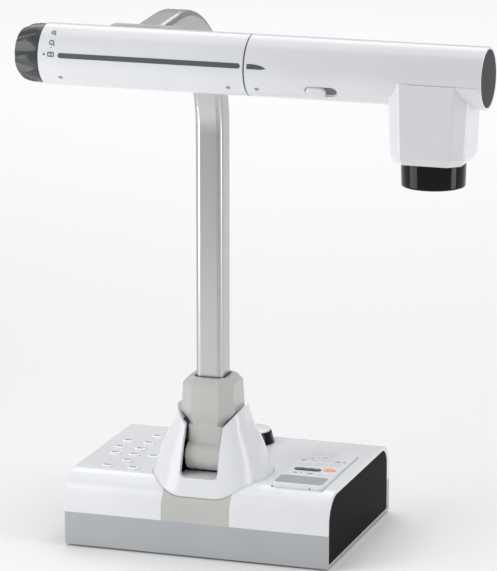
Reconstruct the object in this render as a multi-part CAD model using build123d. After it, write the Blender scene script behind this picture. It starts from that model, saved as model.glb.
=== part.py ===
"""Document camera: a weighted base, a folding arm and a tubular camera head.

Millimetres, +Z up. The origin is the middle of the base on the table, +X runs along the head tube
towards the lens, and the front of the base faces -Y.
"""
import math
import os

from build123d import *

os.makedirs("parts", exist_ok=True)

# Base
BASE_W = 262.0
BASE_FRONT = -102.0
BASE_BACK = 102.0
BASE_TOP = 71.0
BAND_TOP = 34.0
FOOT_H = 2.0
FRONT_R = 28.0
REAR_R = 22.0
WALL = 2.5
FIT = 0.3
PANEL_T = 2.6

# Pedestal and hinge
PED_Y = -47.0
PIVOT_Y = -63.0
PIVOT_Z = 91.0
BARREL_R = 14.6
PIN_R = 5.0
SLOT_HALF = 18.7
ROOT_HALF = 17.7
SLOT_FLOOR = 75.4
EAR_X = 24.5
EAR_T = 4.0

# Arm
ARM_Y = -47.0
COLUMN_W = 27.0
COLUMN_R = 5.5
COLUMN_WALL = 2.4
COLUMN_LOW = 127.0
BEND_Z = 401.0
BEND_R = 116.0
BEND_DEG = 94.0
COLUMN_END_Y = -238.0
COLLAR_LOW = 133.0
COLLAR_TOP = 166.0

# Head tube
TUBE_Y = -242.0
TUBE_Z = 500.7
TUBE_R = 27.2
TUBE_WALL = 2.8
TUBE_LEFT = -86.2
SEAM_X = 102.6
SEAM_GAP = 1.5
HEAD_END = 314.5
ACCENT_DEG = 7.2
ACCENT_H = 4.4
PARTING_DROP = 4.1
SHAFT_R = 18.0
LENS_X = 267.0
BLOCK_LOW = 427.0
LENS_LOW = 405.0
LENS_R = 28.4
SWITCH_X = 172.0
SWITCH_DEG = 37.0
SCREW_DEG = 39.0

# Controls
KNOB_END = -113.0
KNOB_R = 26.2
GRIP_COUNT = 10
ZOOM_X = 4.5
ZOOM_Y = 61.0
KEY_L = 12.0
KEY_W = 7.6
KEY_PLACES = [(-90, 46), (-112, 23), (-90, 21), (-71, 22), (-112, 0), (-91, -1),
              (-109, -21), (-90, -21), (-70, -21), (-89, -42), (-101, -64), (-75, -65)]
REMOTE_X = 93.2
REMOTE_Y = -21.0
REMOTE_L = 117.0
REMOTE_W = 50.0
REMOTE_LOW = 54.3
REMOTE_TOP = 75.2
POCKET_FLOOR = 54.0

HALF_W = BASE_W / 2
TOP_INNER = BASE_TOP - WALL


def save(shape, name):
    """Write one node."""
    export_step(shape, f"parts/{name}.step")


def box(x0, x1, y0, y1, z0, z1):
    """Box between two corners."""
    centre = Location(((x0 + x1) / 2, (y0 + y1) / 2, (z0 + z1) / 2))
    return centre * Box(x1 - x0, y1 - y0, z1 - z0)


def rod(x, y, z0, z1, radius):
    """Upright cylinder."""
    return Location((x, y, (z0 + z1) / 2)) * Cylinder(radius, z1 - z0)


def rod_x(x0, x1, y, z, radius):
    """Cylinder along X."""
    return Location(((x0 + x1) / 2, y, z)) * Rotation(0, 90, 0) * Cylinder(radius, x1 - x0)


def rod_y(x, y0, y1, z, radius):
    """Cylinder along Y."""
    return Location((x, (y0 + y1) / 2, z)) * Rotation(90, 0, 0) * Cylinder(radius, y1 - y0)


def group(shapes):
    """One node made of separate solids."""
    return Compound(children=[solid for shape in shapes for solid in shape.solids()])


def side_profile(front, back, low, top, front_r, rear_r, x0, x1):
    """Base outline seen from the side, with round top corners, extruded along X."""
    left = Line((front, low), (front, top - front_r))
    nose = CenterArc((front + front_r, top - front_r), front_r, 180, -90)
    roof = Line((front + front_r, top), (back - rear_r, top))
    tail = CenterArc((back - rear_r, top - rear_r), rear_r, 90, -90)
    rear = Line((back, top - rear_r), (back, low))
    floor = Line((back, low), (front, low))
    face = make_face([left, nose, roof, tail, rear, floor])
    plane = Plane(origin=(x0, 0, 0), x_dir=(0, 1, 0), z_dir=(1, 0, 0))
    return extrude(plane * face, amount=x1 - x0)


def base_block(inset, x_half):
    """The base's outer solid, moved in by inset."""
    return side_profile(BASE_FRONT + inset, BASE_BACK - inset, FOOT_H + inset, BASE_TOP - inset,
                        FRONT_R - inset, REAR_R - inset, -x_half, x_half)


def panel_block(gap, x0, x1):
    """Outline of a side panel, which stops short of the rear edge."""
    return side_profile(BASE_FRONT + 3.2 + gap, BASE_BACK - 9.0 - gap, FOOT_H + 3.5 + gap,
                        BASE_TOP - 3.2 - gap, FRONT_R - 3.2, 17.0, x0, x1)


def outer_block():
    """The base's outer solid with the edges of its two ends softened."""
    block = base_block(0, HALF_W)
    rims = [edge for face in block.faces().filter_by(Axis.X) for edge in face.edges()]
    return fillet(rims, 1.0)


# Used to trim everything that meets the base's skin.
BLOCK = outer_block()


def base_shell():
    """Hollow base before it is parted into tray and cover."""
    shell = BLOCK - base_block(WALL, HALF_W - PANEL_T - 2.0)
    shell -= panel_block(-0.15, -HALF_W - 1, -HALF_W + PANEL_T)
    shell -= panel_block(-0.15, HALF_W - PANEL_T, HALF_W + 1)
    return shell


SHELL = base_shell()
POCKET_X0 = REMOTE_X - REMOTE_W / 2 - 0.5
POCKET_X1 = REMOTE_X + REMOTE_W / 2 + 0.5
POCKET_Y0 = REMOTE_Y - REMOTE_L / 2 - 0.5
POCKET_Y1 = REMOTE_Y + REMOTE_L / 2 + 0.5
FOOT_PLACES = [(sx * 112, sy * 84) for sx in (-1, 1) for sy in (-1, 1)]
SCREW_PLACES = [(sx * 118, sy * 66) for sx in (-1, 1) for sy in (-1, 1)]
REAR_X = 98.0
REAR_TOP = 39.0


def make_tray():
    """Grey lower band and floor, with screw posts."""
    tray = SHELL & box(-HALF_W - 1, HALF_W + 1, -120, 120, 0, BAND_TOP)
    for x, y in SCREW_PLACES:
        tray += rod(x, y, FOOT_H + 1, BAND_TOP - 1, 5)
    for x, y in SCREW_PLACES:
        tray -= rod(x, y, 0, BAND_TOP, 1.8)
        tray -= rod(x, y, 0, FOOT_H + 3, 3.6)
    for x, y in FOOT_PLACES:
        tray -= rod(x, y, 0, FOOT_H + 1.2, 8.1)
    tray -= box(-REAR_X - 0.2, REAR_X + 0.2, BASE_BACK - 6, BASE_BACK + 3, 6, BAND_TOP + 1)
    return tray


def section(z, half_x, half_y, radius):
    """Rounded rectangle round the pedestal's middle."""
    return Plane(origin=(0, PED_Y, z)) * RectangleRounded(2 * half_x, 2 * half_y, radius)


def bell(inset, low, high):
    """Flared body of the pedestal, cut between two heights."""
    sizes = [(56, 58.5, 50.0, 43), (71, 56.0, 47.8, 41), (80, 52.8, 44.6, 38), (94, 48.8, 40.0, 34),
             (110, 42.2, 33.6, 28), (122, 36.8, 28.6, 23), (140, 31.0, 23.0, 17)]
    rings = [section(z, a - inset, b - inset, r - inset) for z, a, b, r in sizes]
    return loft(rings) & box(-80, 80, -120, 40, low, high)


def foot_groove():
    """Narrow groove in the skin of the base, round the foot of the pedestal."""
    skin = BLOCK - base_block(1.2, HALF_W + 1)
    return (bell(-0.8, 50, 80) - bell(0, 50, 80)) & skin


def make_cover():
    """White top cover with the remote's pocket, key holes and hinge opening."""
    cover = SHELL & box(-HALF_W - 1, HALF_W + 1, -120, 120, BAND_TOP, 90)
    pocket = box(POCKET_X0 - 2, POCKET_X1 + 2, POCKET_Y0 - 2, POCKET_Y1 + 2, POCKET_FLOOR - 2, 90)
    cover += pocket & BLOCK
    cover -= box(POCKET_X0, POCKET_X1, POCKET_Y0, POCKET_Y1, POCKET_FLOOR, 90)
    cover -= box(-28, 28, -84, -38, 60, 90)
    cover -= rod(ZOOM_X, ZOOM_Y, 60, 90, 4.6)
    for x, y in KEY_PLACES:
        hole = SlotOverall(KEY_L + 2 * FIT, KEY_W + 2 * FIT)
        cover -= extrude(Location((x, y, 60)) * hole, amount=30)
    strip = BLOCK - base_block(1.5, HALF_W + 1)
    cover -= strip & box(-33.7, 33.7, -120, -84.4, BAND_TOP - 1, 90)
    cover -= box(-REAR_X - 0.2, REAR_X + 0.2, BASE_BACK - 6, BASE_BACK + 3, 20, REAR_TOP + 0.2)
    return cover - foot_groove()


def make_front_insert():
    """Grey strip let into the front of the cover."""
    strip = BLOCK - base_block(1.5, HALF_W + 1)
    return (strip & box(-33.5, 33.5, -120, -84.6, BAND_TOP, 90)) - foot_groove()


def make_side_panel(side):
    """Black plate let flush into one end."""
    x0 = HALF_W - PANEL_T
    return panel_block(0, min(side * x0, side * HALF_W), max(side * x0, side * HALF_W))


SOCKET_Z = 20.0
HDMI_X = (-28, -8)
USB_X = (14, 32)
LAN_X = 54.0
POWER_X = -60.0
PANEL_Y0 = BASE_BACK - 4.0
PANEL_Y1 = BASE_BACK + 0.8


def make_rear_panel():
    """Connector panel: one cut-out for each socket."""
    panel = box(-REAR_X, REAR_X, PANEL_Y0, PANEL_Y1, 6.2, REAR_TOP)
    for x in HDMI_X:
        panel -= box(x - 8.3, x + 8.3, 90, 110, SOCKET_Z - 3.8, SOCKET_Z + 3.8)
    for x in USB_X:
        panel -= box(x - 7.3, x + 7.3, 90, 110, SOCKET_Z - 3.8, SOCKET_Z + 3.8)
    panel -= box(LAN_X - 8.3, LAN_X + 8.3, 90, 110, SOCKET_Z - 7.3, SOCKET_Z + 7.3)
    panel -= rod_y(POWER_X, 90, 110, SOCKET_Z, 6.2)
    return panel


def socket_shell(x, width, height, depth, wall, tongue):
    """Metal-shelled socket, open to the rear, with or without its inner tongue."""
    y1 = PANEL_Y1 - 0.4
    y0 = y1 - depth
    half_w = width / 2
    half_h = height / 2
    body = box(x - half_w, x + half_w, y0, y1, SOCKET_Z - half_h, SOCKET_Z + half_h)
    body -= box(x - half_w + wall, x + half_w - wall, y0 + 2, y1 + 1,
                SOCKET_Z - half_h + wall, SOCKET_Z + half_h - wall)
    if tongue:
        body += box(x - half_w + 2.5, x + half_w - 2.5, y0, y1 - 1.5, SOCKET_Z - 0.6, SOCKET_Z + 0.6)
    return body


def make_power_inlet():
    """Round low-voltage inlet with its centre pin."""
    y1 = PANEL_Y1 - 0.4
    inlet = rod_y(POWER_X, y1 - 14, y1, SOCKET_Z, 5.9)
    inlet -= rod_y(POWER_X, y1 - 11, y1 + 1, SOCKET_Z, 3.2)
    inlet += rod_y(POWER_X, y1 - 12, y1 - 2, SOCKET_Z, 1.0)
    return inlet


PLATE_Z0 = FOOT_H + WALL + 0.3
PLATE_Z1 = PLATE_Z0 + 9.0


def make_ballast():
    """Steel plate that keeps the base down."""
    return box(-108, 108, -80, 52, PLATE_Z0, PLATE_Z1)


def xz_prism(points, y0, y1):
    """Prism along Y from points in X and Z."""
    face = make_face(Polyline(*points, close=True))
    plane = Plane(origin=(0, y1, 0), x_dir=(1, 0, 0), z_dir=(0, -1, 0))
    return extrude(plane * face, amount=y1 - y0)


def make_pedestal():
    """White bell that hides the hinge, open at the front for the arm."""
    pedestal = bell(0, 56, 137.5) - BLOCK
    reach = SLOT_HALF + 2.2
    lip = box(-reach, reach, -120, PED_Y, 50, 127) - bell(5.8, 50, 128)
    sill = box(-reach, reach, -120, -66, SLOT_FLOOR - 2.5, SLOT_FLOOR)
    pedestal -= bell(3.2, 50, 126) - lip - sill
    slot = box(-SLOT_HALF, SLOT_HALF, -120, -21, SLOT_FLOOR, 200)
    low_edges = slot.edges().filter_by(Axis.Y).sort_by(Axis.Z)[:2]
    pedestal -= fillet(low_edges, 4.5)
    shoulder = [(-SLOT_HALF, 121.5), (SLOT_HALF, 121.5), (28.4, 133), (33.8, 139), (-33.8, 139), (-28.4, 133)]
    return pedestal - xz_prism(shoulder, -120, 40)


def make_hinge_bracket():
    """Bent steel bracket on the ballast plate, with one ear each side of the arm."""
    bracket = box(-EAR_X - EAR_T, EAR_X + EAR_T, -82, -40, PLATE_Z1, PLATE_Z1 + EAR_T)
    for side in (-1, 1):
        x0 = side * EAR_X - EAR_T / 2
        ear = box(x0, x0 + EAR_T, -78, -44, PLATE_Z1, PIVOT_Z)
        ear += rod_x(x0, x0 + EAR_T, PIVOT_Y, PIVOT_Z, 13)
        bracket += ear
    bracket -= rod_x(-40, 40, PIVOT_Y, PIVOT_Z, PIN_R)
    return bracket


def make_hinge_pin():
    """Steel pin with a head at one end and a clip at the other."""
    end = EAR_X + EAR_T / 2
    pin = rod_x(-end - 1, end + 1, PIVOT_Y, PIVOT_Z, PIN_R)
    pin += rod_x(end, end + 2, PIVOT_Y, PIVOT_Z, 7)
    pin += rod_x(-end - 2, -end, PIVOT_Y, PIVOT_Z, 7)
    return pin


def yz_prism(points, x0, x1):
    """Prism along X from points in Y and Z."""
    face = make_face(Polyline(*points, close=True))
    plane = Plane(origin=(x0, 0, 0), x_dir=(0, 1, 0), z_dir=(1, 0, 0))
    return extrude(plane * face, amount=x1 - x0)


def octagon(half_x, half_y, cut_x, cut_y, centre, z):
    """Rectangle with four cut corners, as a face at one height."""
    points = []
    corners = [(1, -1), (1, 1), (-1, 1), (-1, -1)]
    for index, (sx, sy) in enumerate(corners):
        pair = [(sx * (half_x - cut_x), sy * half_y), (sx * half_x, sy * (half_y - cut_y))]
        if index % 2:
            pair.reverse()
        points += pair
    face = make_face(Polyline(*points, close=True))
    return Plane(origin=(centre[0], centre[1], z)) * face


COLLAR_CENTRE = (0, ARM_Y - 0.5)


def arm_foot(z0, z1):
    """Faceted foot of the arm with soft edges, cut between two heights."""
    sizes = [(112, ROOT_HALF, 22.5, 6, 5), (123, ROOT_HALF, 22.5, 6, 5), (COLLAR_LOW, 26.5, 25.5, 12.5, 10),
             (COLLAR_TOP - 6, 25.2, 24.6, 12, 10), (COLLAR_TOP, 20.0, 19.5, 9, 7)]
    rings = [octagon(a, b, c, d, COLLAR_CENTRE, z) for z, a, b, c, d in sizes]
    foot = loft(rings[:2], ruled=True)
    for index in range(1, 4):
        foot += loft(rings[index:index + 2], ruled=True)
    edges = foot.edges().filter_by(lambda edge: edge.center().Z > 112.5)
    return fillet(edges, 1.4) & box(-60, 60, -100, 20, z0, z1)


def make_arm_root():
    """Grey die-cast root: hinge barrel below, shoulder above."""
    outline = [(PIVOT_Y - 7, 97), (PIVOT_Y - 7, 121), (-25, 121), (-25, 90), (-34, 80), (PIVOT_Y, 76.6)]
    root = yz_prism(outline, -ROOT_HALF, ROOT_HALF)
    upright = root.edges().filter_by(Axis.Z)
    root = fillet(upright, 3.0)
    root += rod_x(-ROOT_HALF, ROOT_HALF, PIVOT_Y, PIVOT_Z, BARREL_R)
    root += arm_foot(115, COLLAR_LOW)
    root -= box(-COLUMN_W / 2, COLUMN_W / 2, ARM_Y - 13.5, ARM_Y + 13.5, COLUMN_LOW, 150)
    root -= rod_x(-30, 30, PIVOT_Y, PIVOT_Z, 7.0)
    root -= rod(0, ARM_Y, 84, 140, 4)
    return root


def make_bushes():
    """Two flanged brass bushes in the barrel."""
    shapes = []
    for side in (-1, 1):
        near = side * 6
        far = side * ROOT_HALF
        flange = side * (ROOT_HALF + 0.6)
        bush = rod_x(min(near, far), max(near, far), PIVOT_Y, PIVOT_Z, 7.0)
        bush += rod_x(min(far, flange), max(far, flange), PIVOT_Y, PIVOT_Z, 10)
        bush -= rod_x(-30, 30, PIVOT_Y, PIVOT_Z, PIN_R + 0.05)
        shapes.append(bush)
    return group(shapes)


def make_collar():
    """Grey collar clamped round the foot of the column."""
    collar = arm_foot(COLLAR_LOW, COLLAR_TOP + 1)
    hole = RectangleRounded(COLUMN_W, COLUMN_W, COLUMN_R)
    recess = RectangleRounded(COLUMN_W + 4, COLUMN_W + 4, COLUMN_R + 2)
    collar -= extrude(Plane(origin=(0, ARM_Y, COLLAR_LOW - 1)) * hole, amount=60)
    collar -= extrude(Plane(origin=(0, ARM_Y, COLLAR_TOP - 4)) * recess, amount=10)
    for dz in (10, 22):
        collar -= rod_y(0, ARM_Y + 13, ARM_Y + 40, COLLAR_LOW + dz, 2.1)
    return collar


def make_collar_screws():
    """Two screws that fix the column in the collar, from behind."""
    shapes = []
    for dz in (10, 22):
        shapes.append(rod_y(0, ARM_Y + COLUMN_W / 2, ARM_Y + 23.6, COLLAR_LOW + dz, 2.0))
    return group(shapes)


BEND_Y = ARM_Y - BEND_R
CABLE_END_Y = -224.0


def bend_point(degrees):
    """Point on the arc of the arm's centre line."""
    angle = math.radians(degrees)
    return (0, BEND_Y + BEND_R * math.cos(angle), BEND_Z + BEND_R * math.sin(angle))


def arm_path(z_low, y_end):
    """Centre line of the arm: straight up, one forward arc, then a short run."""
    end_y, end_z = bend_point(BEND_DEG)[1:]
    drop = math.tan(math.radians(BEND_DEG - 90)) * (end_y - y_end)
    rise = Line((0, ARM_Y, z_low), (0, ARM_Y, BEND_Z))
    arc = ThreePointArc((0, ARM_Y, BEND_Z), bend_point(BEND_DEG / 2), bend_point(BEND_DEG))
    run = Line((0, end_y, end_z), (0, y_end, end_z - drop))
    return Wire([rise, arc, run])


def make_column():
    """Square aluminium tube, bent forward at the top and coped to the head tube."""
    foot = Plane(origin=(0, ARM_Y, COLUMN_LOW))
    inner = COLUMN_W - 2 * COLUMN_WALL
    outline = RectangleRounded(COLUMN_W, COLUMN_W, COLUMN_R)
    outline -= RectangleRounded(inner, inner, COLUMN_R - COLUMN_WALL)
    column = sweep(foot * outline, path=arm_path(COLUMN_LOW, COLUMN_END_Y))
    return column - rod_x(-40, 40, TUBE_Y, TUBE_Z, TUBE_R)


def make_head_cable():
    """Flexible lead inside the column, from the base to the head."""
    foot = Plane(origin=(0, ARM_Y, 92))
    return sweep(foot * Circle(2.5), path=arm_path(92, CABLE_END_Y))


SADDLE_Y0 = TUBE_Y + 10.0
SADDLE_Y1 = -203.0


def make_saddle():
    """Grey cradle under the column's end, screwed to the back of the tube."""
    neck = yz_prism([(SADDLE_Y0, 478), (-216, 482), (SADDLE_Y1, 492), (SADDLE_Y1, 521.0),
                     (SADDLE_Y0, 522.4)], -18.0, 18.0)
    wing = yz_prism([(SADDLE_Y0, 480), (-216, 484), (-211, 492), (-211, 518), (-214, 525.2),
                     (-220, 527.2), (SADDLE_Y0, 527.6)], -32, 32)
    ends = [edge for face in wing.faces().filter_by(Axis.X) for edge in face.edges()]
    saddle = fillet(ends, 1.2) + neck
    saddle -= rod_x(-40, 40, TUBE_Y, TUBE_Z, TUBE_R)
    inner = Plane(origin=(0, ARM_Y, COLUMN_LOW)) * RectangleRounded(COLUMN_W, COLUMN_W, COLUMN_R)
    return saddle - sweep(inner, path=arm_path(COLUMN_LOW, COLUMN_END_Y))


SPLIT_Z = TUBE_Z + TUBE_R * math.sin(math.radians(ACCENT_DEG))


def tube_ring(x0, x1):
    """Plain length of the tube's wall."""
    ring = rod_x(x0, x1, TUBE_Y, TUBE_Z, TUBE_R)
    return ring - rod_x(x0 - 1, x1 + 1, TUBE_Y, TUBE_Z, TUBE_R - TUBE_WALL)


def strip_block(x0, x1, depth, gap):
    """Round-ended bar standing on the tube's front, where the accent strip lies."""
    angle = math.radians(ACCENT_DEG)
    normal = (0, -math.cos(angle), math.sin(angle))
    reach = TUBE_R - depth
    origin = ((x0 + x1) / 2, TUBE_Y + normal[1] * reach, TUBE_Z + normal[2] * reach)
    plane = Plane(origin=origin, x_dir=(1, 0, 0), z_dir=normal)
    return extrude(plane * SlotOverall(x1 - x0 + 2 * gap, ACCENT_H + 2 * gap), amount=depth + 2)


def tube_point(x, drop_degrees, reach):
    """Point below the tube's front, and the outward direction there."""
    angle = math.radians(drop_degrees)
    normal = (0, -math.cos(angle), -math.sin(angle))
    return (x, TUBE_Y + normal[1] * reach, TUBE_Z + normal[2] * reach), normal


def tube_plug(x, reach, radius, length):
    """Short cylinder standing out of the lower front of the tube."""
    origin, normal = tube_point(x, SCREW_DEG, reach)
    plane = Plane(origin=origin, x_dir=(1, 0, 0), z_dir=normal)
    return extrude(plane * Circle(radius), amount=length)


FIXED_SCREWS = (-67.0, 88.0)
HEAD_SCREWS = (114.0,)
ACCENT_X0 = -67.5
ACCENT_X1 = 100.4


def fixed_tube(z0, z1):
    """Half of the fixed tube, with its share of the bulkhead."""
    tube = tube_ring(TUBE_LEFT, SEAM_X)
    bulkhead = rod_x(TUBE_LEFT + 2, TUBE_LEFT + 5, TUBE_Y, TUBE_Z, TUBE_R - 1)
    tube += bulkhead - rod_x(TUBE_LEFT, TUBE_LEFT + 9, TUBE_Y, TUBE_Z, 7)
    tube -= strip_block(ACCENT_X0, ACCENT_X1, 1.2, 0.1)
    for x in FIXED_SCREWS:
        tube -= tube_plug(x, TUBE_R - 1.6, 2.2, 5)
    tube -= rod_y(0, TUBE_Y, TUBE_Y + 40, 513.8, 4)
    return tube & box(-200, 200, -300, -180, z0, z1)


def make_accent():
    """Dark strip that covers the joint of the fixed tube."""
    skin = rod_x(-100, SEAM_X, TUBE_Y, TUBE_Z, TUBE_R + 0.15)
    return strip_block(ACCENT_X0, ACCENT_X1, 1.2, 0) & skin


def make_plugs(places):
    """Screw heads sunk in the lower front of the tube."""
    return group([tube_plug(x, TUBE_R - 1.6, 2.1, 1.0) for x in places])


def make_bearing_ring():
    """Plastic bearing pressed into the end of the fixed tube."""
    ring = rod_x(SEAM_X - 14, SEAM_X - 1, TUBE_Y, TUBE_Z, TUBE_R - TUBE_WALL)
    return ring - rod_x(0, 200, TUBE_Y, TUBE_Z, SHAFT_R + 0.06)


def make_swivel_shaft():
    """Hollow shaft of the head, with a lip behind the bearing and a flange in the head."""
    shaft = rod_x(SEAM_X - 18, SEAM_X + 12, TUBE_Y, TUBE_Z, SHAFT_R)
    shaft += rod_x(SEAM_X - 18, SEAM_X - 14.5, TUBE_Y, TUBE_Z, SHAFT_R + 2)
    shaft += rod_x(SEAM_X + 3, SEAM_X + 8, TUBE_Y, TUBE_Z, TUBE_R - TUBE_WALL)
    return shaft - rod_x(0, 200, TUBE_Y, TUBE_Z, SHAFT_R - 3)


def make_mode_encoder():
    """Rotary switch behind the bulkhead."""
    body = rod_x(TUBE_LEFT + 5, TUBE_LEFT + 20, TUBE_Y, TUBE_Z, 12)
    return body - rod_x(-200, 0, TUBE_Y, TUBE_Z, 3.05)


def x_turned(points):
    """Solid of revolution about the tube's axis from points in X and radius."""
    outline = [(x, TUBE_Z + radius) for x, radius in points]
    face = make_face(Polyline(*outline, close=True))
    plane = Plane(origin=(0, TUBE_Y, 0), x_dir=(1, 0, 0), z_dir=(0, -1, 0))
    axis = Axis((0, TUBE_Y, TUBE_Z), (1, 0, 0))
    return revolve(plane * face, axis=axis)


KNOB_X = TUBE_LEFT - 0.8


def make_mode_dial():
    """Dark scalloped grip on the left end of the tube, narrowing to a round end."""
    grip = x_turned([(KNOB_X, 0), (KNOB_X, KNOB_R), (-98, 25.8), (-105, 24.2), (-109.5, 21.4),
                     (-112, 17.0), (KNOB_END, 10), (KNOB_END, 0)])
    groove = Location((-101, 0, 34.1)) * Rotation(0, 70.5, 0) * Cylinder(11.0, 60)
    for index in range(GRIP_COUNT):
        turn = Location((0, TUBE_Y, TUBE_Z)) * Rotation(index * 360 / GRIP_COUNT, 0, 0)
        grip -= turn * groove
    return grip


def make_dial_shaft():
    """Steel shaft from the grip into its switch."""
    return rod_x(KNOB_X, TUBE_LEFT + 18, TUBE_Y, TUBE_Z, 3.0)


HEAD_X0 = SEAM_X + SEAM_GAP
PARTING_Z = TUBE_Z - PARTING_DROP
LENS_CENTRE = (LENS_X, TUBE_Y)


def lens_block(inset):
    """Faceted block that carries the lens, wider at the top."""
    upper = octagon(36.8 - inset, 27.5 - inset, 12, 8, LENS_CENTRE, 499)
    lower = octagon(33.4 - inset, 30.0 - inset, 11, 9, LENS_CENTRE, BLOCK_LOW + 6 + inset / 2)
    bottom = octagon(29.6 - inset, 29.2 - inset, 10, 9, LENS_CENTRE, BLOCK_LOW + inset)
    block = loft([upper, lower], ruled=True)
    return block + loft([lower, bottom], ruled=True)


def soft_lens_block():
    """Lens block with rounded outer edges below the tube."""
    block = lens_block(0)
    corners = block.edges().filter_by(lambda edge: abs(edge.tangent_at(0.5).Z) > 0.9)
    block = fillet(corners, 4.5)
    rim = block.edges().filter_by(lambda edge: abs(edge.center().Z - BLOCK_LOW - 6) < 0.6)
    return fillet(rim, 1.2)


def switch_plane(reach):
    """Plane of the slide switch on the lower front of the head."""
    origin, normal = tube_point(SWITCH_X, SWITCH_DEG, reach)
    return Plane(origin=origin, x_dir=(1, 0, 0), z_dir=normal)


def end_recess():
    """Shallow seat for the disc at the end of the head."""
    return rod_x(HEAD_END - 3.2, HEAD_END + 1, TUBE_Y, TUBE_Z, TUBE_R - 1.9)


def accent_tip():
    """Short bar in line with the accent strip, its top edge running down to a blunt point."""
    angle = math.radians(ACCENT_DEG)
    normal = (0, -math.cos(angle), math.sin(angle))
    reach = TUBE_R - 1.2
    origin = (HEAD_X0 + 2.4, TUBE_Y + normal[1] * reach, TUBE_Z + normal[2] * reach)
    plane = Plane(origin=origin, x_dir=(1, 0, 0), z_dir=normal)
    half = ACCENT_H / 2
    lower = Line((0, -half), (10, -half))
    tip = Spline((10, -half), (15, -half + 0.3), (17.4, -1.2))
    upper = Spline((17.4, -1.2), (13, 0.9), (7, half - 0.15), (0, half))
    back = Line((0, half), (0, -half))
    return extrude(plane * make_face([lower, tip, upper, back]), amount=3)


def make_head_upper():
    """Upper shell of the camera head."""
    shell = tube_ring(HEAD_X0, HEAD_END) - end_recess() - accent_tip()
    return shell & box(100, 330, -300, -180, PARTING_Z, 560)


def make_head_lower():
    """Lower shell of the camera head with the lens block."""
    below = box(100, 330, -300, -180, 400, PARTING_Z)
    solid = rod_x(HEAD_X0, HEAD_END, TUBE_Y, TUBE_Z, TUBE_R) + soft_lens_block()
    shell = solid - rod_x(HEAD_X0 - 1, HEAD_END + 1, TUBE_Y, TUBE_Z, TUBE_R - TUBE_WALL)
    shell -= lens_block(2.4)
    shell = (shell & below) - end_recess()
    shell -= rod(LENS_X, TUBE_Y, BLOCK_LOW - 2, BLOCK_LOW + 20, 22.3)
    shell -= extrude(switch_plane(TUBE_R - 2.0) * SlotOverall(30, 11.4), amount=6)
    for x in HEAD_SCREWS:
        shell -= tube_plug(x, TUBE_R - 1.6, 2.2, 5)
    seam = box(LENS_X - 16, HEAD_END + 1, -280, TUBE_Y, PARTING_Z - 0.35, PARTING_Z + 1)
    return shell - (seam - rod_x(200, 330, TUBE_Y, TUBE_Z, TUBE_R - 0.6))


def make_end_disc():
    """Dark disc let into the end of the head."""
    return rod_x(HEAD_END - 3.2, HEAD_END - 0.2, TUBE_Y, TUBE_Z, TUBE_R - 2.0)


def z_turned(points):
    """Solid of revolution about the lens axis from points in radius and Z."""
    outline = [(LENS_X + radius, z) for radius, z in points]
    face = make_face(Polyline(*outline, close=True))
    plane = Plane(origin=(0, TUBE_Y, 0), x_dir=(1, 0, 0), z_dir=(0, -1, 0))
    return revolve(plane * face, axis=Axis((LENS_X, TUBE_Y, 0), (0, 0, 1)))


def make_lens_ring():
    """Gloss black ring round the lens, coned inside."""
    return z_turned([(22, BLOCK_LOW), (LENS_R, BLOCK_LOW), (LENS_R - 0.7, LENS_LOW + 0.6),
                     (LENS_R - 1.3, LENS_LOW), (LENS_R - 3.0, LENS_LOW), (17.2, LENS_LOW + 9),
                     (17.2, LENS_LOW + 14), (22, LENS_LOW + 14)])


def make_lens_glass():
    """Front lens."""
    return z_turned([(0, LENS_LOW + 6.5), (9, LENS_LOW + 7.5), (17, LENS_LOW + 10.5),
                     (17, LENS_LOW + 13.5), (0, LENS_LOW + 13.5)])


def make_lens_barrel():
    """Barrel that holds the zoom lens."""
    low = LENS_LOW + 14
    return z_turned([(18, low), (22, low), (22, 472), (18, 472)])


def make_sensor_board():
    """Image sensor board on top of the barrel."""
    return box(LENS_X - 18, LENS_X + 18, TUBE_Y - 18, TUBE_Y + 18, 472, 474)


def make_lock_slider():
    """Sliding lock in its recess."""
    plane = switch_plane(TUBE_R - 1.8)
    left = plane * Location((-4.5, 0, 0))
    slider = extrude(left * SlotOverall(18, 9.6), amount=3.4)
    top = slider.faces().sort_by(lambda face: face.center().Y)[0]
    return fillet(top.edges(), 0.8)


def make_zoom_skirt():
    """Black flared skirt and stem of the zoom dial."""
    skirt = z_dial([(0, 60), (4.0, 60), (4.0, BASE_TOP + 0.4), (20.8, BASE_TOP + 0.4),
                    (20.2, BASE_TOP + 2.5), (18.0, BASE_TOP + 11.2), (17.2, BASE_TOP + 12),
                    (0, BASE_TOP + 12)])
    return skirt


def z_dial(points):
    """Solid of revolution about the zoom dial's axis from points in radius and Z."""
    outline = [(ZOOM_X + radius, z) for radius, z in points]
    face = make_face(Polyline(*outline, close=True))
    plane = Plane(origin=(0, ZOOM_Y, 0), x_dir=(1, 0, 0), z_dir=(0, -1, 0))
    return revolve(plane * face, axis=Axis((ZOOM_X, ZOOM_Y, 0), (0, 0, 1)))


def make_zoom_cap():
    """White domed cap of the zoom dial."""
    low = BASE_TOP + 12
    return z_dial([(0, low), (16.8, low), (16.6, low + 0.9), (15.5, low + 1.6), (9, low + 2.5),
                   (0, low + 2.9)])


def make_zoom_encoder():
    """Encoder that the zoom dial's stem turns in."""
    body = rod(ZOOM_X, ZOOM_Y, 56, TOP_INNER, 11)
    return body - rod(ZOOM_X, ZOOM_Y, 58, 90, 4.05)


def make_key(x, y):
    """Oval key: a cap through the cover and a flange that keeps it in."""
    place = Location((x, y, TOP_INNER - 2.2))
    key = extrude(place * SlotOverall(KEY_L, KEY_W), amount=2.2 + WALL + 1.3)
    key = fillet(key.faces().sort_by(Axis.Z)[-1].edges(), 0.9)
    return key + extrude(place * SlotOverall(KEY_L + 3, KEY_W + 3), amount=1.7)


def make_key_board():
    """Board with the key switches, hung under the cover."""
    return box(-123, -60, -76, 56, TOP_INNER - 6.6, TOP_INNER - 5.0)


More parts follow.
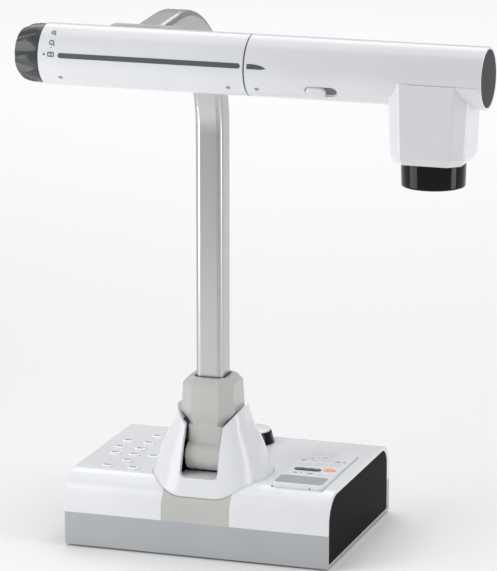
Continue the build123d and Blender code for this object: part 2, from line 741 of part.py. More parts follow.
def make_main_board():
    """Main board behind the connector panel."""
    return box(-90, 90, 56, 95, 10.2, 11.8)


REMOTE_PLACE = (REMOTE_X, REMOTE_Y)
REMOTE_SPLIT = 64.0


def remote_block(z0, z1, inset):
    """Rounded block of the remote control."""
    face = RectangleRounded(REMOTE_W - 2 * inset, REMOTE_L - 2 * inset, 5 - inset)
    return extrude(Plane(origin=(REMOTE_X, REMOTE_Y, z0)) * face, amount=z1 - z0)


def make_remote_lower():
    """Lower shell of the remote control."""
    return remote_block(REMOTE_LOW, REMOTE_SPLIT, 0) - remote_block(REMOTE_LOW + 1.8, 70, 1.8)


def make_remote_upper():
    """Upper shell of the remote control, with a softened top edge."""
    block = remote_block(REMOTE_SPLIT, REMOTE_TOP, 0)
    top = block.faces().sort_by(Axis.Z)[-1]
    block = fillet(top.edges(), 1.2)
    return block - remote_block(60, REMOTE_TOP - 1.8, 1.8)


def make_feet():
    """Four rubber feet."""
    return group([rod(x, y, 0, FOOT_H + 1.2, 8) for x, y in FOOT_PLACES])


def make_base_screws():
    """Four screws from below, their heads sunk in the tray."""
    shapes = []
    for x, y in SCREW_PLACES:
        screw = rod(x, y, FOOT_H + 0.8, FOOT_H + 3, 3.4) + rod(x, y, FOOT_H + 2, 26, 1.7)
        shapes.append(screw)
    return group(shapes)


save(make_tray(), "bottom_tray")
save(make_cover(), "top_cover")
save(make_front_insert(), "front_insert")
save(make_side_panel(-1), "left_side_panel")
save(make_side_panel(1), "right_side_panel")
save(make_rear_panel(), "rear_panel")
save(make_feet(), "rubber_feet")
save(make_base_screws(), "base_screws")
save(make_ballast(), "ballast_plate")
save(make_main_board(), "main_board")
save(group([socket_shell(x, 16, 7, 13, 1.1, True) for x in HDMI_X]), "hdmi_sockets")
save(group([socket_shell(x, 14, 7, 15, 0.8, True) for x in USB_X]), "usb_sockets")
save(socket_shell(LAN_X, 16, 14, 15, 1.6, False), "network_jack")
save(make_power_inlet(), "power_inlet")
save(make_pedestal(), "pedestal_cover")
save(make_hinge_bracket(), "hinge_bracket")
save(make_hinge_pin(), "hinge_pin")
save(make_key_board(), "key_board")
save(make_zoom_encoder(), "zoom_encoder")
save(make_arm_root(), "arm_root")
save(make_bushes(), "hinge_bushes")
save(make_collar(), "arm_collar")
save(make_collar_screws(), "collar_screws")
save(make_column(), "arm_column")
save(make_head_cable(), "head_cable")
save(make_saddle(), "saddle_bracket")
save(fixed_tube(SPLIT_Z, 560), "fixed_tube_upper")
save(fixed_tube(440, SPLIT_Z), "fixed_tube_lower")
save(make_accent(), "accent_strip")
save(make_plugs(FIXED_SCREWS), "tube_screws")
save(make_bearing_ring(), "bearing_ring")
save(make_mode_encoder(), "mode_encoder")
save(make_head_upper(), "head_upper_cover")
save(make_head_lower(), "head_lower_cover")
save(accent_tip() & rod_x(100, 200, TUBE_Y, TUBE_Z, TUBE_R + 0.15), "accent_tip")
save(make_end_disc(), "end_disc")
save(make_lens_ring(), "lens_ring")
save(make_lens_glass(), "lens_glass")
save(make_lens_barrel(), "lens_barrel")
save(make_sensor_board(), "sensor_board")
save(make_swivel_shaft(), "swivel_shaft")
save(make_mode_dial(), "mode_dial")
save(make_dial_shaft(), "dial_shaft")
save(make_lock_slider(), "lock_slider")
save(make_zoom_skirt(), "zoom_dial_skirt")
save(make_zoom_cap(), "zoom_dial_cap")
save(make_remote_lower(), "remote_lower_case")
save(make_remote_upper(), "remote_upper_case")
for number, (key_x, key_y) in enumerate(KEY_PLACES, start=1):
    save(make_key(key_x, key_y), f"key_{number:02d}")
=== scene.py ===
import math

import bpy
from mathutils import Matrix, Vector


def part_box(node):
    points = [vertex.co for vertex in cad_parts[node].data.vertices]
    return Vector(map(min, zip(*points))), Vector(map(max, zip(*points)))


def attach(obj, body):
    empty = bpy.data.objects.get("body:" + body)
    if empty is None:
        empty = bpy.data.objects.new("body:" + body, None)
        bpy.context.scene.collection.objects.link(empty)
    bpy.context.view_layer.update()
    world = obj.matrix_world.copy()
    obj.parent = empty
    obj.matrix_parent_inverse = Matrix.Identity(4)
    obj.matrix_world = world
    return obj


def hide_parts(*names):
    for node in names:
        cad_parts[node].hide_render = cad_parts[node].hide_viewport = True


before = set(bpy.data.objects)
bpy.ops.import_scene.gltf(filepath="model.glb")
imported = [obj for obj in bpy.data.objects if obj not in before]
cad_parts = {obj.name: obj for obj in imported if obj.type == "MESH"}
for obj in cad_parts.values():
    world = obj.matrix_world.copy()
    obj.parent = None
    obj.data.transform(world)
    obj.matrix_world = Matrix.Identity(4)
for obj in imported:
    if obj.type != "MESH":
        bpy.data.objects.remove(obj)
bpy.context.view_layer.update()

bpy.ops.object.select_all(action="DESELECT")


# Studio. A pale sheet under the camera, one large soft light on each side, one above and one on the
# background, and a long lens at the eye height of somebody who stands before the table.
camera_data = bpy.data.cameras.new("studio_camera")
camera_data.sensor_width = 36.0
camera_data.lens = 236.4
camera_data.clip_end = 50.0
camera = bpy.data.objects.new("studio_camera", camera_data)
camera.location = (1.106, -3.289, 1.074)
camera.rotation_euler = (math.radians(76.5), 0.0, math.radians(18.28))
bpy.context.scene.collection.objects.link(camera)
bpy.context.scene.camera = camera
bpy.context.scene.view_settings.view_transform = "Standard"


def softbox(name, place, aim, width, height, watts):
    """Rectangular light at a place, turned towards a point."""
    light = bpy.data.lights.new(name, "AREA")
    light.shape = "RECTANGLE"
    light.size = width
    light.size_y = height
    light.energy = watts
    lamp = bpy.data.objects.new(name, light)
    lamp.location = place
    lamp.rotation_euler = (Vector(aim) - Vector(place)).to_track_quat("-Z", "Y").to_euler()
    bpy.context.scene.collection.objects.link(lamp)


head_height_aim = (0.267, -0.242, 0.68)
softbox("left_softbox", (-0.75, -0.82, 0.70), head_height_aim, 0.66, 1.38, 7.5)
softbox("right_softbox", (1.45, -0.22, 0.70), head_height_aim, 0.42, 1.38, 6.0)
softbox("top_softbox", (0.0, 0.25, 2.4), (0.0, -0.1, 0.2), 1.9, 1.5, 10.0)
softbox("backdrop_softbox", (-0.8, 2.6, 2.6), (-0.8, 2.9, 0.0), 3.4, 3.0, 60.0)

world = bpy.data.worlds.new("studio_air")
world.use_nodes = True
world.node_tree.nodes["Background"].inputs["Color"].default_value = (1.0, 1.0, 1.0, 1.0)
world.node_tree.nodes["Background"].inputs["Strength"].default_value = 0.42
bpy.context.scene.world = world

bpy.ops.mesh.primitive_plane_add(size=12.0, location=(0.0, 0.0, 0.0))
floor = bpy.context.object
floor.name = "studio_floor"
paper = bpy.data.materials.new("studio_paper")
paper.use_nodes = True
paper.node_tree.nodes["Principled BSDF"].inputs["Base Color"].default_value = (0.93, 0.93, 0.93, 1.0)
paper.node_tree.nodes["Principled BSDF"].inputs["Roughness"].default_value = 0.9
floor.data.materials.append(paper)
bpy.ops.object.select_all(action="DESELECT")


# Top cover and its halves. Glossy cool-white moulded ABS, polished in the mould, with the faint
# orange peel and the slight unevenness of gloss that thick glossy mouldings have.
def plastic(name, colour, roughness, grain_size, grain_height, coat=0.0, drift=0.03, shine=0.5):
    """Moulded plastic: a colour that drifts slightly, uneven gloss and a fine surface grain."""
    material = bpy.data.materials.new(name)
    material.use_nodes = True
    nodes = material.node_tree.nodes
    links = material.node_tree.links
    shader = nodes["Principled BSDF"]
    shader.inputs["IOR"].default_value = 1.5
    shader.inputs["Specular IOR Level"].default_value = shine
    shader.inputs["Coat Weight"].default_value = coat
    shader.inputs["Coat Roughness"].default_value = 0.06
    place = nodes.new("ShaderNodeTexCoord")
    cloud = nodes.new("ShaderNodeTexNoise")
    cloud.inputs["Scale"].default_value = 14.0
    cloud.inputs["Detail"].default_value = 3.0
    links.new(place.outputs["Object"], cloud.inputs["Vector"])
    tint = nodes.new("ShaderNodeValToRGB")
    low = [max(0.0, c * (1.0 - drift)) for c in colour]
    high = [min(1.0, c * (1.0 + drift)) for c in colour]
    tint.color_ramp.elements[0].position = 0.3
    tint.color_ramp.elements[0].color = (*low, 1.0)
    tint.color_ramp.elements[1].position = 0.7
    tint.color_ramp.elements[1].color = (*high, 1.0)
    links.new(cloud.outputs["Fac"], tint.inputs["Fac"])
    links.new(tint.outputs["Color"], shader.inputs["Base Color"])
    gloss = nodes.new("ShaderNodeMapRange")
    gloss.inputs["To Min"].default_value = roughness * 0.85
    gloss.inputs["To Max"].default_value = roughness * 1.15
    links.new(cloud.outputs["Fac"], gloss.inputs["Value"])
    links.new(gloss.outputs["Result"], shader.inputs["Roughness"])
    grain = nodes.new("ShaderNodeTexNoise")
    grain.inputs["Scale"].default_value = 1.0 / grain_size
    grain.inputs["Detail"].default_value = 2.0
    links.new(place.outputs["Object"], grain.inputs["Vector"])
    bump = nodes.new("ShaderNodeBump")
    bump.inputs["Strength"].default_value = 0.35
    bump.inputs["Distance"].default_value = grain_height
    links.new(grain.outputs["Fac"], bump.inputs["Height"])
    links.new(bump.outputs["Normal"], shader.inputs["Normal"])
    return material


def dress(material, *names):
    """Gives carried-over parts their finish."""
    for name in names:
        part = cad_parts[name]
        part.data.materials.clear()
        part.data.materials.append(material)


white_plastic = plastic("white_plastic", (0.83, 0.845, 0.88), 0.22, 0.0012, 0.00001, coat=0.25)
dress(white_plastic, "top_cover", "pedestal_cover", "fixed_tube_upper", "fixed_tube_lower",
      "head_upper_cover", "head_lower_cover", "lock_slider", "zoom_dial_cap",
      "remote_lower_case", "remote_upper_case")
# Key caps: a whiter moulding than the cover, made lighter still as a painted highlight for the bright
# sheen on their tops.
key_white_and_sheen = plastic("key_white_and_sheen", (0.95, 0.955, 0.97), 0.2, 0.001, 0.00001, coat=0.2)
for number in range(1, 13):
    dress(key_white_and_sheen, f"key_{number:02d}")

# Tray and connector panel. Satin grey moulded ABS with a fine spark-eroded grain.
band_plastic = plastic("band_plastic", (0.46, 0.475, 0.49), 0.42, 0.0005, 0.00003)
dress(band_plastic, "bottom_tray", "rear_panel")

# Root, collar, saddle and front insert. Warm grey: the root die-cast and painted, the others moulded
# in the same colour with a little gloss.
warm_grey = plastic("warm_grey", (0.55, 0.56, 0.535), 0.3, 0.0006, 0.00002, coat=0.15)
dress(warm_grey, "arm_root", "arm_collar", "saddle_bracket", "front_insert")

# Side panels. Glossy black plastic plates.
panel_black = plastic("panel_black", (0.006, 0.006, 0.0055), 0.3, 0.0008, 0.00001, shine=0.008)
dress(panel_black, "left_side_panel", "right_side_panel")

matte_black = plastic("matte_black", (0.025, 0.025, 0.026), 0.5, 0.0006, 0.00003)
dress(matte_black, "network_jack", "power_inlet", "zoom_encoder", "head_cable", "bearing_ring",
      "mode_encoder", "swivel_shaft")

rubber = plastic("rubber", (0.03, 0.03, 0.03), 0.75, 0.0005, 0.00005)
dress(rubber, "rubber_feet")

dial_grey = plastic("dial_grey", (0.05, 0.055, 0.058), 0.22, 0.0008, 0.00001)
dress(dial_grey, "mode_dial")

accent_grey = plastic("accent_grey", (0.085, 0.1, 0.115), 0.4, 0.0006, 0.00002)
dress(accent_grey, "accent_strip", "accent_tip")

disc_grey = plastic("disc_grey", (0.042, 0.042, 0.046), 0.35, 0.0006, 0.00002, shine=0.05)
dress(disc_grey, "end_disc")

piano_black = plastic("piano_black", (0.002, 0.002, 0.0025), 0.1, 0.002, 0.000003, shine=0.28)
dress(piano_black, "lens_ring", "zoom_dial_skirt")


def metal(name, colour, roughness, stretch, height):
    """Drawn or turned metal: fine lines along one axis, from stretched noise."""
    material = bpy.data.materials.new(name)
    material.use_nodes = True
    nodes = material.node_tree.nodes
    links = material.node_tree.links
    shader = nodes["Principled BSDF"]
    shader.inputs["Metallic"].default_value = 1.0
    shader.inputs["Base Color"].default_value = (*colour, 1.0)
    place = nodes.new("ShaderNodeTexCoord")
    scale = nodes.new("ShaderNodeMapping")
    scale.inputs["Scale"].default_value = stretch
    links.new(place.outputs["Object"], scale.inputs["Vector"])
    lines = nodes.new("ShaderNodeTexNoise")
    lines.inputs["Scale"].default_value = 1.0
    lines.inputs["Detail"].default_value = 3.0
    links.new(scale.outputs["Vector"], lines.inputs["Vector"])
    gloss = nodes.new("ShaderNodeMapRange")
    gloss.inputs["To Min"].default_value = roughness * 0.8
    gloss.inputs["To Max"].default_value = roughness * 1.2
    links.new(lines.outputs["Fac"], gloss.inputs["Value"])
    links.new(gloss.outputs["Result"], shader.inputs["Roughness"])
    bump = nodes.new("ShaderNodeBump")
    bump.inputs["Strength"].default_value = 0.3
    bump.inputs["Distance"].default_value = height
    links.new(lines.outputs["Fac"], bump.inputs["Height"])
    links.new(bump.outputs["Normal"], shader.inputs["Normal"])
    return material


satin_aluminium = metal("satin_aluminium", (0.56, 0.56, 0.57), 0.24, (1600.0, 1600.0, 6.0), 0.000001)
dress(satin_aluminium, "arm_column")
steel = metal("steel", (0.6, 0.6, 0.6), 0.35, (400.0, 400.0, 400.0), 0.00001)
dress(steel, "base_screws", "ballast_plate", "hinge_pin", "collar_screws",
      "tube_screws", "dial_shaft", "hdmi_sockets", "usb_sockets")
brass = metal("brass", (0.80, 0.62, 0.28), 0.3, (400.0, 400.0, 400.0), 0.00001)
dress(brass, "hinge_bushes")
# Hinge bracket: a black-oxide finish, made black also as painted shade for the dark gap between the arm
# root and its slot.
black_oxide_and_gap_shade = metal("black_oxide_and_gap_shade", (0.035, 0.035, 0.037), 0.5, (300.0, 300.0, 300.0), 0.00001)
dress(black_oxide_and_gap_shade, "hinge_bracket")
barrel_black = metal("barrel_black", (0.03, 0.03, 0.03), 0.4, (400.0, 400.0, 400.0), 0.00001)
dress(barrel_black, "lens_barrel")
board_green = plastic("board_green", (0.02, 0.16, 0.07), 0.35, 0.002, 0.00002)
dress(board_green, "main_board", "key_board", "sensor_board")
glass_dark = plastic("glass_dark", (0.01, 0.012, 0.02), 0.04, 0.01, 0.000001, coat=1.0)
dress(glass_dark, "lens_glass")


# Mode dial. A thick rubber-touch moulding pressed on the shaft at the left end of the tube. It is
# turned to a domed end, then ten finger hollows are cut that run out towards the tube.
def turned(name, rings, vertices=96):
    """Closed solid of revolution about Z, grown ring by ring from a disc; rings are (z, radius)."""
    bpy.ops.mesh.primitive_circle_add(vertices=vertices, radius=rings[0][1], fill_type="NGON",
                                      location=(0.0, 0.0, 0.0))
    piece = bpy.context.object
    piece.name = name
    bpy.ops.object.mode_set(mode="EDIT")
    bpy.ops.mesh.select_all(action="SELECT")
    bpy.ops.transform.translate(value=(0.0, 0.0, rings[0][0]))
    for (z0, r0), (z1, r1) in zip(rings, rings[1:]):
        bpy.ops.mesh.extrude_region_move(TRANSFORM_OT_translate={"value": (0.0, 0.0, z1 - z0)})
        bpy.ops.transform.resize(value=(r1 / r0, r1 / r0, 1.0), center_override=(0.0, 0.0, z1))
    bpy.ops.mesh.select_all(action="SELECT")
    bpy.ops.mesh.normals_make_consistent(inside=False)
    bpy.ops.object.mode_set(mode="OBJECT")
    return piece


def settle(piece, place, turn=(0.0, 0.0, 0.0)):
    """Turns and moves a piece, then writes its place into its mesh."""
    bpy.ops.object.select_all(action="DESELECT")
    bpy.context.view_layer.objects.active = piece
    piece.select_set(True)
    piece.rotation_euler = [math.radians(angle) for angle in turn]
    piece.location = place
    bpy.ops.object.transform_apply(location=True, rotation=True, scale=True)


def carve(piece, cutter):
    """Cuts one closed mesh out of another and removes the tool."""
    boolean = piece.modifiers.new("carve", "BOOLEAN")
    boolean.operation = "DIFFERENCE"
    boolean.solver = "EXACT"
    boolean.object = cutter
    bpy.ops.object.select_all(action="DESELECT")
    bpy.context.view_layer.objects.active = piece
    piece.select_set(True)
    bpy.ops.object.modifier_apply(modifier="carve")
    bpy.data.objects.remove(cutter, do_unlink=True)


def soften(piece, angle):
    """Shades a piece smooth, except across edges sharper than an angle."""
    bpy.ops.object.select_all(action="DESELECT")
    bpy.context.view_layer.objects.active = piece
    piece.select_set(True)
    bpy.ops.object.shade_smooth_by_angle(angle=math.radians(angle))


def hand_over(piece, body, material, finish, *stands_for):
    """Gives a finished piece its material, its body and the part that it stands for."""
    piece.data.materials.clear()
    piece.data.materials.append(material)
    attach(piece, body)
    for node in stands_for:
        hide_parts(node)
    bpy.ops.object.select_all(action="DESELECT")


ring_low, ring_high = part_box("bearing_ring")
tube_y = (ring_low[1] + ring_high[1]) / 2
tube_z = (ring_low[2] + ring_high[2]) / 2
tube_r = 0.0272
hollow_count = 10
grip = turned("mode_dial_grip", [
    (0.0, 0.0252), (0.0006, 0.0261), (0.0048, 0.02619), (0.0088, 0.0261), (0.0118, 0.02585),
    (0.0148, 0.0253), (0.0178, 0.0244), (0.0203, 0.0231), (0.0223, 0.0215), (0.0240, 0.0193),
    (0.0251, 0.0165), (0.0257, 0.0130), (0.0259, 0.0085)], 160)
settle(grip, (-0.0870, tube_y, tube_z), (0.0, -90.0, 0.0))
for number in range(hollow_count):
    bpy.ops.mesh.primitive_cylinder_add(vertices=64, radius=0.011, depth=0.06, location=(0.0, 0.0, 0.0))
    hollow = bpy.context.object
    settle(hollow, (-0.101, 0.0, 0.0341), (0.0, 70.5, 0.0))
    settle(hollow, (0.0, tube_y, tube_z), (number * 360.0 / hollow_count, 0.0, 0.0))
    carve(grip, hollow)
soften(grip, 24.0)
hand_over(grip, "mode_dial", dial_grey, "dial_grey", "mode_dial")


# Zoom dial. A flared gloss-black skirt moulded over the stem, and a white domed cap snapped into it
# with a fine step between them.
zoom_place = (0.0045, 0.061, 0.071)
skirt = turned("zoom_dial_flare", [
    (0.0004, 0.0200), (0.0005, 0.0207), (0.0010, 0.0208), (0.0026, 0.0201), (0.0060, 0.0191),
    (0.0100, 0.0182), (0.0112, 0.0178), (0.0118, 0.0172), (0.0118, 0.0100)], 128)
settle(skirt, zoom_place)
soften(skirt, 40.0)
hand_over(skirt, "zoom_dial", piano_black, "gloss_black", "zoom_dial_skirt")
cap = turned("zoom_dial_top", [
    (0.0118, 0.0120), (0.0118, 0.0166), (0.0121, 0.01675), (0.0127, 0.0167), (0.0133, 0.0162),
    (0.0138, 0.0152), (0.0142, 0.0132), (0.0145, 0.0100), (0.0148, 0.0050), (0.0149, 0.0015)], 128)
settle(cap, zoom_place)
soften(cap, 40.0)
hand_over(cap, "zoom_dial", white_plastic, "white_gloss", "zoom_dial_cap")


# Keys. Twelve oval white caps with a softly domed top, each standing 1.3 mm out of its hole, and on
# each a small printed sign in grey: a broad bar, with one stroke, one dash or two short marks by it.
def panel(name, centre, width, depth, radius, low, high, dome=0.0):
    """Plate with round corners and, if wanted, a softly domed top."""
    bpy.ops.mesh.primitive_plane_add(size=1.0, location=(0.0, 0.0, 0.0))
    piece = bpy.context.object
    piece.name = name
    bpy.ops.transform.resize(value=(width, depth, 1.0))
    bpy.ops.object.transform_apply(location=False, rotation=False, scale=True)
    bpy.ops.object.mode_set(mode="EDIT")
    bpy.ops.mesh.select_all(action="SELECT")
    bpy.ops.mesh.bevel(offset=radius * 0.998, segments=10, affect="VERTICES")
    bpy.ops.mesh.select_all(action="SELECT")
    bpy.ops.mesh.extrude_region_move(TRANSFORM_OT_translate={"value": (0.0, 0.0, high - low)})
    steps = ((0.45, 0.05), (0.30, 0.07), (0.18, 0.10), (0.07, 0.14)) if dome else ()
    half_x = width / 2
    half_y = depth / 2
    for rise, inward in steps:
        bpy.ops.mesh.extrude_region_move(TRANSFORM_OT_translate={"value": (0.0, 0.0, dome * rise)})
        step = inward * depth
        bpy.ops.transform.resize(value=((half_x - step) / half_x, (half_y - step) / half_y, 1.0),
                                 center_override=(0.0, 0.0, 0.0), constraint_axis=(True, True, False))
        half_x -= step
        half_y -= step
    bpy.ops.mesh.select_all(action="SELECT")
    bpy.ops.mesh.normals_make_consistent(inside=False)
    bpy.ops.object.mode_set(mode="OBJECT")
    settle(piece, (centre[0], centre[1], low))
    return piece


def slab(name, centre, width, depth, low, high, turn=0.0):
    """Small bar of one thickness, turned about the vertical."""
    bpy.ops.mesh.primitive_cube_add(size=1.0, location=(0.0, 0.0, 0.0))
    piece = bpy.context.object
    piece.name = name
    bpy.ops.transform.resize(value=(width, depth, high - low))
    settle(piece, (centre[0], centre[1], (low + high) / 2), (0.0, 0.0, turn))
    return piece


def join(name, pieces):
    """One mesh made of several closed shells."""
    bpy.ops.object.select_all(action="DESELECT")
    for piece in pieces:
        piece.select_set(True)
    bpy.context.view_layer.objects.active = pieces[0]
    bpy.ops.object.join()
    pieces[0].name = name
    return pieces[0]


cap_length = 0.0120
cap_width = 0.0076
cap_depth = 0.0046
cap_dome = 0.0006
key_print = plastic("key_print", (0.10, 0.105, 0.115), 0.5, 0.0004, 0.000005, shine=0.3)
for number in range(1, 13):
    node = f"key_{number:02d}"
    low_corner, high_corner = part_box(node)
    mid_x = (low_corner[0] + high_corner[0]) / 2
    mid_y = (low_corner[1] + high_corner[1]) / 2
    top = high_corner[2]
    key_cap = panel(f"{node}_cap", (mid_x, mid_y), cap_length, cap_width, cap_width / 2,
                    top - cap_depth, top - cap_dome, cap_dome)
    soften(key_cap, 50.0)
    hand_over(key_cap, node, key_white_and_sheen, "key_white", node)
    ink_low = top - 0.0002
    ink_high = top + 0.00004
    sign_y = mid_y + 0.0004
    signs = [slab("bar", (mid_x - 0.0013, sign_y), 0.0032, 0.0026, ink_low, ink_high)]
    if number % 3 == 0:
        signs.append(slab("stroke", (mid_x + 0.0020, sign_y), 0.0015, 0.0030, ink_low, ink_high))
    elif number % 3 == 1:
        signs.append(slab("dash", (mid_x + 0.0022, sign_y), 0.0020, 0.0020, ink_low, ink_high))
    else:
        signs.append(slab("tick", (mid_x + 0.0015, sign_y), 0.0010, 0.0030, ink_low, ink_high, 25.0))
        signs.append(slab("point", (mid_x + 0.0031, sign_y), 0.0010, 0.0020, ink_low, ink_high))
    sign = join(f"{node}_print", signs)
    hand_over(sign, node, key_print, "accent_grey")


# Remote control's keypad. A printed membrane lies in the top: a grey field near the front edge, a
# black bar key and an orange oval key behind it, then pale keys with thin grey outlines.
remote_low, remote_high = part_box("remote_upper_case")
pad_x = (remote_low[0] + remote_high[0]) / 2
pad_z = remote_high[2]


def ink(name, pieces, material, finish):
    """Printed piece, raised piece or painted-shade mark that goes with the remote."""
    piece = join(name, pieces) if len(pieces) > 1 else pieces[0]
    piece.name = name
    soften(piece, 35.0)
    hand_over(piece, "remote", material, finish)


def outline(name, centre, width, depth, radius, line, low, high):
    """Thin frame: a plate with a smaller plate taken out."""
    frame_plate = panel(name, centre, width, depth, radius, low, high)
    inner = panel("inner", centre, width - 2 * line, depth - 2 * line, max(radius - line, 0.0002),
                  low - 0.001, high + 0.001)
    carve(frame_plate, inner)
    return frame_plate


print_low = pad_z - 0.0003
print_high = pad_z + 0.00005
remote_grey = plastic("remote_grey", (0.35, 0.375, 0.375), 0.4, 0.0006, 0.00001)
ink("remote_grey_field", [panel("field", (pad_x + 0.0002, -0.0650), 0.0470, 0.0250, 0.0038, print_low,
                                print_high)], remote_grey, "grey_band")
pale_print = plastic("pale_print", (0.42, 0.44, 0.46), 0.5, 0.0006, 0.00001)
field_lines = []
for x, y, width, depth in ((pad_x - 0.001, -0.0610, 0.016, 0.0009),
                           (pad_x + 0.006, -0.0585, 0.020, 0.0007),
                           (pad_x - 0.005, -0.0640, 0.007, 0.0012)):
    field_lines.append(slab("line", (x, y), width, depth, print_high, print_high + 0.00004))
ink("remote_field_lines", field_lines, pale_print, "warm_grey")
bar_y = -0.0303
key_rise = 0.0004
bar_key = panel("remote_bar_key", (0.0887, bar_y), 0.0265, 0.0080, 0.0040, print_low,
                pad_z + key_rise, key_rise)
ink("remote_bar_key", [bar_key], matte_black, "black_plastic")
bar_signs = []
for x, width, depth in ((0.0800, 0.0022, 0.0016), (0.0887, 0.0060, 0.0009), (0.0974, 0.0022, 0.0016)):
    bar_signs.append(slab("sign", (x, bar_y), width, depth, pad_z + 0.0007, pad_z + 0.00085))
ink("remote_bar_signs", bar_signs, pale_print, "warm_grey")
orange_rubber = plastic("orange_rubber", (0.90, 0.36, 0.15), 0.45, 0.0006, 0.00001)
orange_key = panel("remote_orange_key", (0.1096, -0.0275), 0.0120, 0.0088, 0.0044, print_low,
                   pad_z + key_rise, key_rise)
ink("remote_orange_key", [orange_key], orange_rubber, "accent_grey")
outlines = []
for x, y, width, depth in ((0.0817, 0.0070, 0.0130, 0.0110), (0.0965, 0.0065, 0.0100, 0.0100),
                           (0.0805, -0.0135, 0.0110, 0.0070), (0.0960, -0.0115, 0.0125, 0.0070),
                           (0.1095, -0.0085, 0.0090, 0.0080), (0.1100, -0.0455, 0.0120, 0.0050),
                           (0.0817, 0.0235, 0.0110, 0.0070), (0.0965, 0.0235, 0.0100, 0.0070)):
    outlines.append(outline("rim", (x, y), width, depth, 0.0020, 0.0006, print_low, print_high))
ink("remote_key_outlines", outlines, pale_print, "warm_grey")
dark_signs = []
for x, y, width, depth in ((0.0802, -0.0424, 0.0034, 0.0022), (0.0862, -0.0424, 0.0016, 0.0014),
                           (0.0950, -0.0427, 0.0060, 0.0020), (0.0752, 0.0002, 0.0032, 0.0022),
                           (0.1086, 0.0026, 0.0054, 0.0022), (0.1150, 0.0024, 0.0022, 0.0022),
                           (0.0930, 0.0125, 0.0040, 0.0010), (0.0817, 0.0070, 0.0030, 0.0010)):
    dark_signs.append(slab("sign", (x, y), width, depth, print_low, print_high + 0.00002))
ink("remote_signs", dark_signs, key_print, "accent_grey")
# Painted shade: three dark marks on the remote's front face stand for the shade in a narrow recess
# there.
front_y = remote_low[1]
recess_shade_marks = []
for x, low, high in ((0.1059, 0.0670, 0.0728), (0.1086, 0.0672, 0.0700), (0.1100, 0.0672, 0.0690)):
    recess_shade_marks.append(slab("tick", (x, front_y + 0.0001), 0.0008, 0.0003, low, high))
ink("remote_front_recess_shade", recess_shade_marks, key_print, "accent_grey")


# Screws of the tube. Three small countersunk screws with a cross in the head, sunk in their dimples.
def on_tube(piece, x, degrees, reach):
    """Lays a piece, made flat with its top upwards, on the tube's front at an angle above it."""
    settle(piece, (0.0, 0.0, reach))
    settle(piece, (0.0, 0.0, 0.0), (90.0 - degrees, 0.0, 0.0))
    settle(piece, (x, tube_y, tube_z))


screw_angle = -39.0
for name, body, x, stands_for in (("left_tube_screw", "arm", -0.067, ("tube_screws",)),
                                  ("seam_tube_screw", "arm", 0.088, ()),
                                  ("head_screw", "camera_head", 0.114, ())):
    head = turned(name, [(-0.0009, 0.0012), (-0.0004, 0.0020), (0.0, 0.00205), (0.0002, 0.0018),
                         (0.00025, 0.0008)], 40)
    for turn in (0.0, 90.0):
        slot_tool = slab("driver", (0.0, 0.0), 0.0022, 0.0005, -0.0004, 0.001, turn)
        carve(head, slot_tool)
    on_tube(head, x, screw_angle, tube_r - 0.0009)
    soften(head, 30.0)
    hand_over(head, body, steel, "steel", *stands_for)


# Marks by the mode dial. Thin grey print on the tube: two magnifier signs, a round-cornered square
# with two bars in it, a dot, a dash and a tick, each for one setting of the dial.
def ring(name, centre, radius, line, low, high):
    """Thin printed ring."""
    outer = panel(name, centre, 2 * radius, 2 * radius, radius, low, high)
    inner = panel("inner", centre, 2 * (radius - line), 2 * (radius - line), radius - line,
                  low - 0.001, high + 0.001)
    carve(outer, inner)
    return outer


ink_grey = plastic("ink_grey", (0.10, 0.105, 0.11), 0.5, 0.0004, 0.000005, shine=0.3)


def tube_print(name, pieces, x, degrees):
    """Lays a flat print on the fixed tube."""
    piece = join(name, pieces) if len(pieces) > 1 else pieces[0]
    piece.name = name
    on_tube(piece, x, degrees, tube_r - 0.00035)
    hand_over(piece, "arm", ink_grey, "accent_grey")


thin = 0.00042
tube_print("upper_magnifier", [ring("lens", (0.0, 0.0), 0.0022, 0.0009, 0.0, thin),
                               slab("hub", (0.0, 0.0), 0.0010, 0.0010, 0.0, thin),
                               slab("handle", (0.0021, -0.0022), 0.0024, 0.0008, 0.0, thin, -45.0)],
           -0.0748, 53.0)
tube_print("lower_magnifier", [ring("lens", (0.0, 0.0), 0.0024, 0.0009, 0.0, thin),
                               slab("hub", (0.0, 0.0), 0.0012, 0.0005, 0.0, thin),
                               slab("handle", (0.0023, -0.0022), 0.0026, 0.0008, 0.0, thin, -45.0)],
           -0.0743, 31.0)
tube_print("dial_dash", [slab("dash", (0.0, 0.0), 0.0018, 0.0006, 0.0, thin)], -0.0742, 21.0)
tube_print("page_sign", [outline("page", (0.0, 0.0), 0.0062, 0.0044, 0.0011, 0.0009, 0.0, thin),
                         slab("line", (0.0, 0.0007), 0.0028, 0.0006, 0.0, thin),
                         slab("line", (0.0, -0.0007), 0.0028, 0.0006, 0.0, thin)], -0.0741, 8.4)
tube_print("dial_dot", [panel("dot", (0.0, 0.0), 0.0020, 0.0020, 0.0010, 0.0, thin)], -0.0803, 8.2)
tube_print("top_tick", [slab("tick", (0.0, 0.0), 0.0010, 0.0006, 0.0, thin)], -0.0744, 78.0)


# Lock slider. A white thumb slide with round ends and three grip ribs across it, in a slot of the
# head's lower half.
switch_x = 0.172
switch_angle = -37.0
slide_x = -0.0045
slide = panel("lock_thumb_slide", (slide_x, 0.0), 0.0180, 0.0096, 0.0048, -0.0016, 0.0008, 0.0008)
ribs = []
for offset in (-0.0022, 0.0, 0.0022):
    ribs.append(slab("rib", (slide_x + offset, 0.0), 0.0006, 0.0052, 0.0010, 0.0017))
slide = join("lock_thumb_slide", [slide] + ribs)
on_tube(slide, switch_x, switch_angle, tube_r)
soften(slide, 40.0)
hand_over(slide, "lock_slider", white_plastic, "white_gloss", "lock_slider")


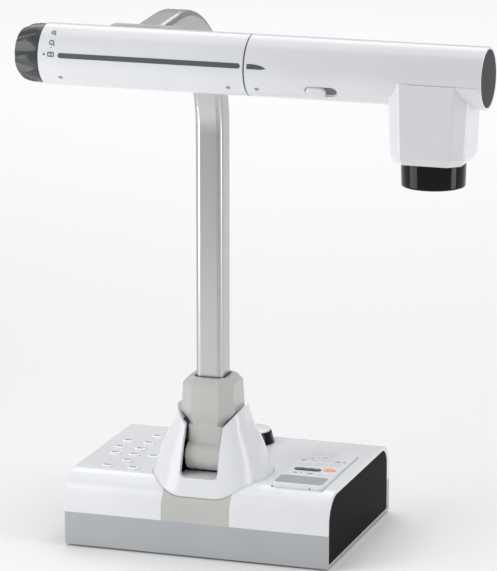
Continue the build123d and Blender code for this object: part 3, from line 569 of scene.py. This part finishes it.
# Painted shade in the lock slot. A dark plate is laid in the slot's floor beside the thumb slide,
# standing in for the shadow and gap there.
slot_shade_plate = panel("lock_slot_shade", (0.0, 0.0), 0.0276, 0.0088, 0.0044, -0.0020, -0.0017)
on_tube(slot_shade_plate, switch_x, switch_angle, tube_r)
slot_shade_grey = plastic("slot_shade_grey", (0.16, 0.165, 0.17), 0.4, 0.0006, 0.00001)
hand_over(slot_shade_plate, "camera_head", slot_shade_grey, "dial_grey")


# Lens ring and front lens. The ring is a gloss-black turned part with a fine bevel at its open rim
# and four baffle steps inside; the lens is a bulging piece of coated glass at the end of the steps.
lens_low, lens_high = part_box("lens_ring")
lens_x = (lens_low[0] + lens_high[0]) / 2
lens_z = lens_low[2]
hood = turned("lens_hood", [
    (0.0220, 0.0220), (0.0220, 0.0283), (0.0217, 0.02838), (0.0213, 0.028385), (0.0018, 0.02779),
    (0.0011, 0.02775), (0.0003, 0.02745),
    (0.0, 0.0269), (0.0, 0.0258), (0.0008, 0.0252)], 160)
bore = turned("bore", [(-0.001, 0.0250), (0.0015, 0.0250), (0.0016, 0.0238), (0.0038, 0.0238),
                       (0.0039, 0.0222), (0.0062, 0.0222), (0.0063, 0.0202), (0.0088, 0.0202),
                       (0.0089, 0.0173), (0.0300, 0.0173)], 128)
carve(hood, bore)
room = turned("room", [(0.0141, 0.0221), (0.0300, 0.0221)], 128)
carve(hood, room)
settle(hood, (lens_x, tube_y, lens_z))
soften(hood, 30.0)
hand_over(hood, "camera_head", piano_black, "gloss_black", "lens_ring")
glass_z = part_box("lens_glass")[0][2]
coated_glass = plastic("coated_glass", (0.006, 0.008, 0.02), 0.02, 0.02, 0.0000002, coat=1.0)
front_lens = turned("front_lens", [
    (0.0069, 0.0170), (0.0069, 0.01695), (0.0040, 0.0169), (0.0028, 0.0150), (0.0016, 0.0120),
    (0.0008, 0.0090), (0.0003, 0.0060), (0.0001, 0.0030), (0.0, 0.0008)], 128)
settle(front_lens, (lens_x, tube_y, glass_z))
soften(front_lens, 40.0)
hand_over(front_lens, "camera_head", coated_glass, "lens_glass", "lens_glass")


# Sockets' contacts. Gold-plated contact strips on the tongues of the video and data sockets, and eight
# sprung wires in the network jack, as in standard sockets of these kinds.
contact_gold = metal("contact_gold", (0.83, 0.66, 0.30), 0.25, (600.0, 600.0, 600.0), 0.000002)
socket_low, socket_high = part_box("hdmi_sockets")
socket_z = (socket_low[2] + socket_high[2]) / 2
strip_y = socket_high[1] - 0.0050
video_socket = (9, 0.0010, 0.0005, 0.0055)
data_socket = (4, 0.0021, 0.0011, 0.0060)
strips = []
for socket_x, kind in ((-0.028, video_socket), (-0.008, video_socket),
                       (0.014, data_socket), (0.032, data_socket)):
    count, pitch, width, length = kind
    for index in range(count):
        x = socket_x + (index - (count - 1) / 2) * pitch
        strips.append(slab("strip", (x, strip_y), width, length, socket_z + 0.0005, socket_z + 0.0007))
contacts = join("socket_contacts", strips)
hand_over(contacts, "base", contact_gold, "brass")
jack_low, jack_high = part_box("network_jack")
jack_x = (jack_low[0] + jack_high[0]) / 2
wires = []
for index in range(8):
    x = jack_x + (index - 3.5) * 0.00102
    wire = slab("wire", (x, jack_high[1] - 0.0070), 0.0004, 0.0075, socket_z + 0.0035, socket_z + 0.0040)
    wires.append(wire)
wires = join("network_contacts", wires)
hand_over(wires, "base", contact_gold, "brass")
